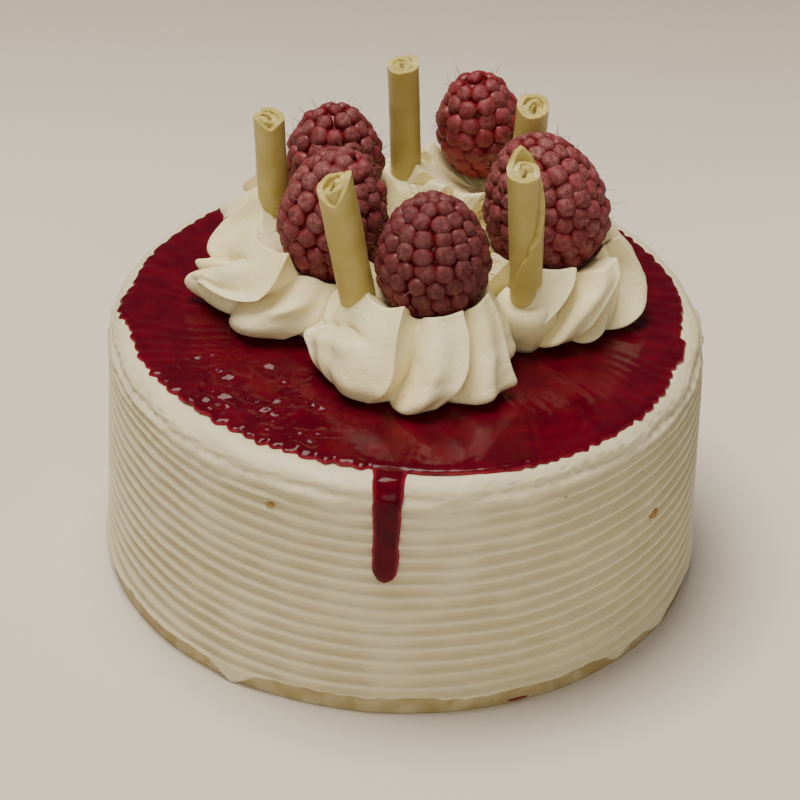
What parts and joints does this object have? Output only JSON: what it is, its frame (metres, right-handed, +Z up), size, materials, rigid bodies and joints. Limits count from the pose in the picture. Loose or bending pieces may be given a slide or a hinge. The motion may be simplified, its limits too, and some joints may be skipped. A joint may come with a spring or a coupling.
{
  "type": "raspberry cake",
  "caption": "Small round cake with comb-ribbed cream sides and a glossy raspberry glaze with a drip, topped by a ring of piped cream rosettes, raspberries and white chocolate curls.",
  "frame": {"origin": "centre of the cake's flat foot", "axes": "+Z up, -Y towards the glaze drip at the front"},
  "size_m": [0.1241, 0.1266, 0.1015],
  "materials": {
    "cream_coat": "soft satin buttercream, drawn with a comb",
    "raspberry_glaze": "wet glossy fruit glaze",
    "whipped_cream": "soft piped cream",
    "raspberry": "dull fruit skin with a pale bloom",
    "white_chocolate": "smooth satin chocolate"
  },
  "bodies": {
    "root": {"cake_body": "cream_coat", "raspberry_glaze": "raspberry_glaze", "rosette_front": "whipped_cream", "rosette_left": "whipped_cream", "rosette_right": "whipped_cream", "rosette_back_left": "whipped_cream", "rosette_back_right": "whipped_cream", "raspberry_front": "raspberry", "raspberry_left": "raspberry", "raspberry_right": "raspberry", "raspberry_back_left": "raspberry", "raspberry_back_right": "raspberry", "curl_left": "white_chocolate", "curl_front_left": "white_chocolate", "curl_back": "white_chocolate", "curl_right": "white_chocolate", "curl_front_right": "white_chocolate"}
  },
  "joints": []
}
